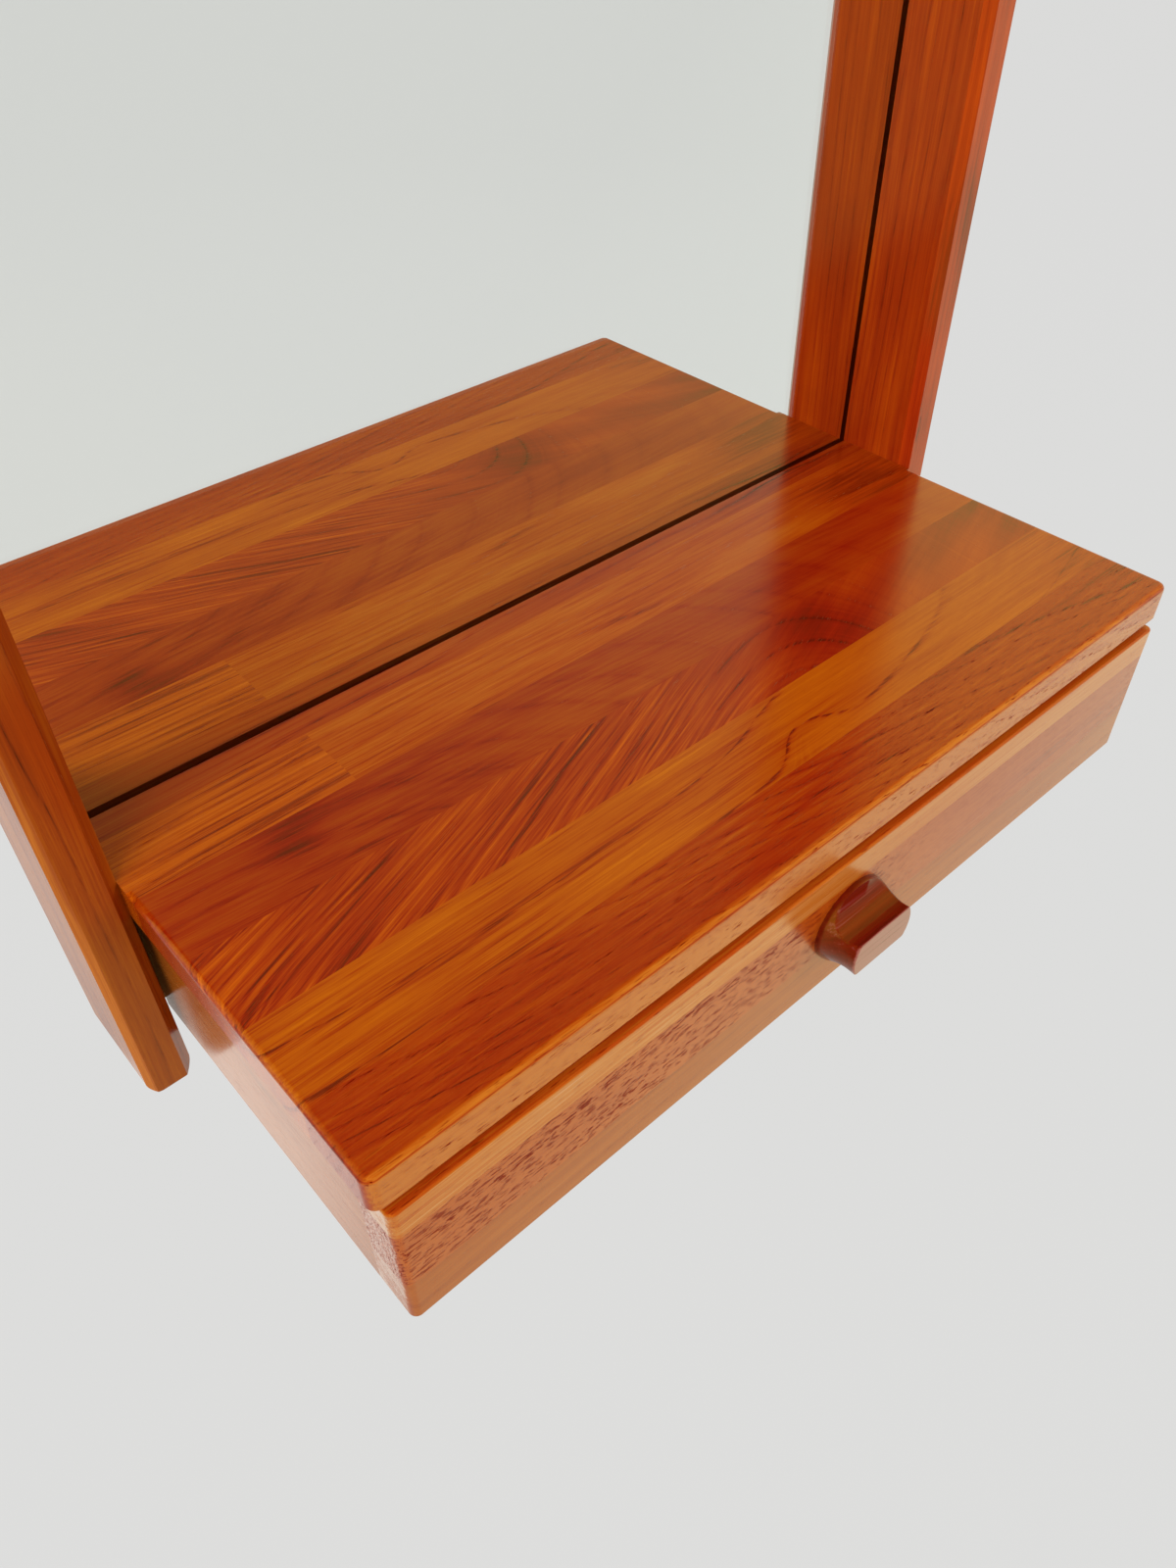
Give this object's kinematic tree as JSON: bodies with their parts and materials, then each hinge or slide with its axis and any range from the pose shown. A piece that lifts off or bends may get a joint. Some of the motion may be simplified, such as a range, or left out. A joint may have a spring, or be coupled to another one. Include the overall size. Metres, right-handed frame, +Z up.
{
  "type": "wall mirror with drawer",
  "caption": "Tall wall mirror between two teak stiles, with an edge-glued teak shelf and a shallow drawer hung beneath it on wooden runners, opened by a turned, scooped pull.",
  "frame": {"origin": "midway between the two hanging holes, on the wall plane", "axes": "+X to the right seen from the room, +Y back into the wall, +Z up; the drawer opens along -Y"},
  "size_m": [0.436, 0.1978, 0.78],
  "materials": {
    "teak_stile": "satin oil lacquer",
    "teak_rail": "satin oil lacquer",
    "teak_shelf_light": "glossy oil lacquer",
    "teak_shelf_mid": "glossy oil lacquer",
    "teak_shelf_deep": "glossy oil lacquer",
    "teak_front_light": "satin oil lacquer",
    "teak_front_dark": "satin oil lacquer",
    "teak_side": "satin oil lacquer",
    "teak_pull": "glossy oil lacquer",
    "beech": "planed, unfinished",
    "birch_plywood": "sanded, unfinished",
    "hardboard": "pressed wood fibre, smooth face",
    "mirror_glass": "clear float glass, polished",
    "mirror_silver": "silvered, backed with paint",
    "screw_brass": "turned, slightly dulled",
    "sprig_steel": "plain steel, dull",
    "hanger_steel": "zinc plated, satin"
  },
  "bodies": {
    "mirror_frame": {"stile_left": "teak_stile", "stile_right": "teak_stile", "top_rail": "teak_rail", "lower_rail": "teak_rail", "top_rail_dowels": "beech", "lower_rail_dowels": "beech", "mirror_glass": "mirror_glass", "mirror_silvering": "mirror_silver", "back_panel": "hardboard", "glazing_sprigs": "sprig_steel", "shelf_rear_strip": "teak_shelf_mid", "shelf_stave_1_left": "teak_shelf_light", "shelf_stave_1_right": "teak_shelf_mid", "shelf_stave_2": "teak_shelf_mid", "shelf_stave_3": "teak_shelf_deep", "shelf_stave_4": "teak_shelf_light", "shelf_stave_5": "teak_shelf_deep", "shelf_end_dowels": "beech", "shelf_rail_dowels": "beech", "runner_left": "beech", "runner_right": "beech", "runner_screws": "screw_brass", "drawer_stops": "beech", "hanger_left": "hanger_steel", "hanger_right": "hanger_steel", "hanger_screws": "hanger_steel"},
    "drawer": {"drawer_front_upper": "teak_front_light", "drawer_front_middle": "teak_front_dark", "drawer_front_lower": "teak_front_light", "drawer_side_left_upper": "teak_side", "drawer_side_left_lower": "teak_side", "drawer_side_right_upper": "teak_side", "drawer_side_right_lower": "teak_side", "drawer_back": "beech", "drawer_bottom": "birch_plywood", "drawer_front_dowels": "beech", "drawer_back_dowels": "beech", "drawer_pull": "teak_pull", "bottom_pins": "sprig_steel", "pull_screw": "screw_brass"}
  },
  "joints": [
    {"name": "drawer_slide", "type": "slide", "parent": "mirror_frame", "child": "drawer", "axis": [0, -1, 0], "range_m": [0, 0.11]}
  ]
}
